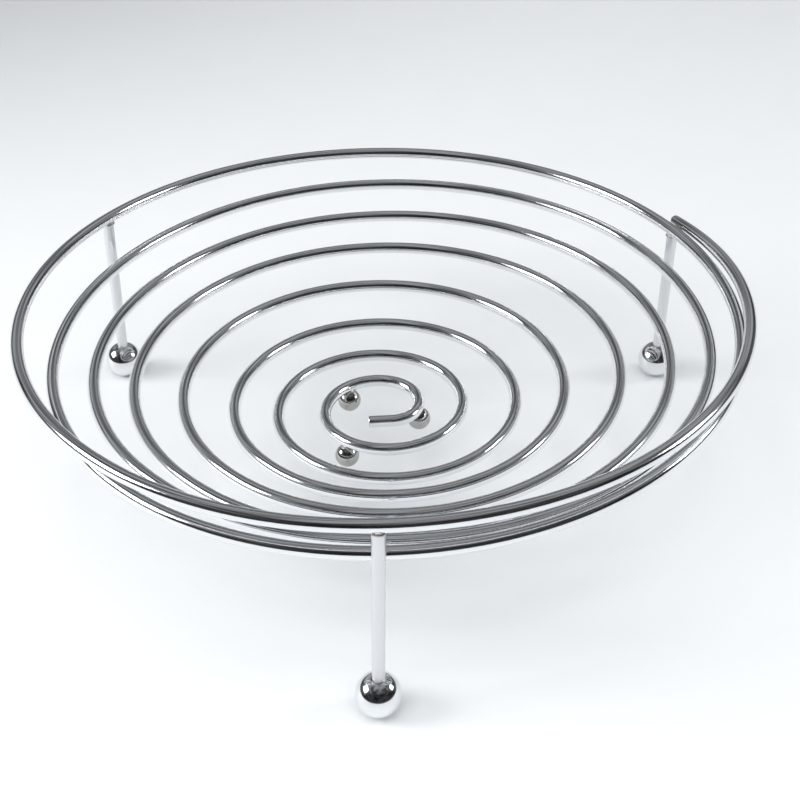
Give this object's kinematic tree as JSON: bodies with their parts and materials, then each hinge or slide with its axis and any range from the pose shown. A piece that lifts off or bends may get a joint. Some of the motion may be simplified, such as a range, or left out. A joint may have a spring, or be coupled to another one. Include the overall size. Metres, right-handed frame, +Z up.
{
  "type": "wire cooling rack",
  "caption": "Round stand of one wire coiled into a shallow dish, on three short posts with ball feet and small balls hung under its middle.",
  "frame": {"origin": "middle of the stand in plan, at the height of the table the ball feet stand on", "axes": "+Z up; +X to the right and -Y to the front post, as seen with the front post towards the viewer"},
  "size_m": [0.2821, 0.2852, 0.0854],
  "materials": {
    "wire_chrome": "bright chrome plate, lightly pitted",
    "ball_chrome": "mirror chrome plate",
    "post_steel": "satin plate with faint mottling",
    "weld_metal": "plated weld bead, darker and rougher than the wire"
  },
  "bodies": {
    "root": {"spiral_wire": "wire_chrome", "tip_weld": "weld_metal", "leg_post_front": "post_steel", "leg_post_rear_left": "post_steel", "leg_post_rear_right": "post_steel", "foot_ball_front": "ball_chrome", "foot_ball_rear_left": "ball_chrome", "foot_ball_rear_right": "ball_chrome", "rim_weld_front": "weld_metal", "rim_weld_rear_left": "weld_metal", "rim_weld_rear_right": "weld_metal", "centre_ball_1": "ball_chrome", "centre_ball_2": "ball_chrome", "centre_ball_3": "ball_chrome", "centre_weld_1": "weld_metal", "centre_weld_2": "weld_metal", "centre_weld_3": "weld_metal"}
  },
  "joints": []
}
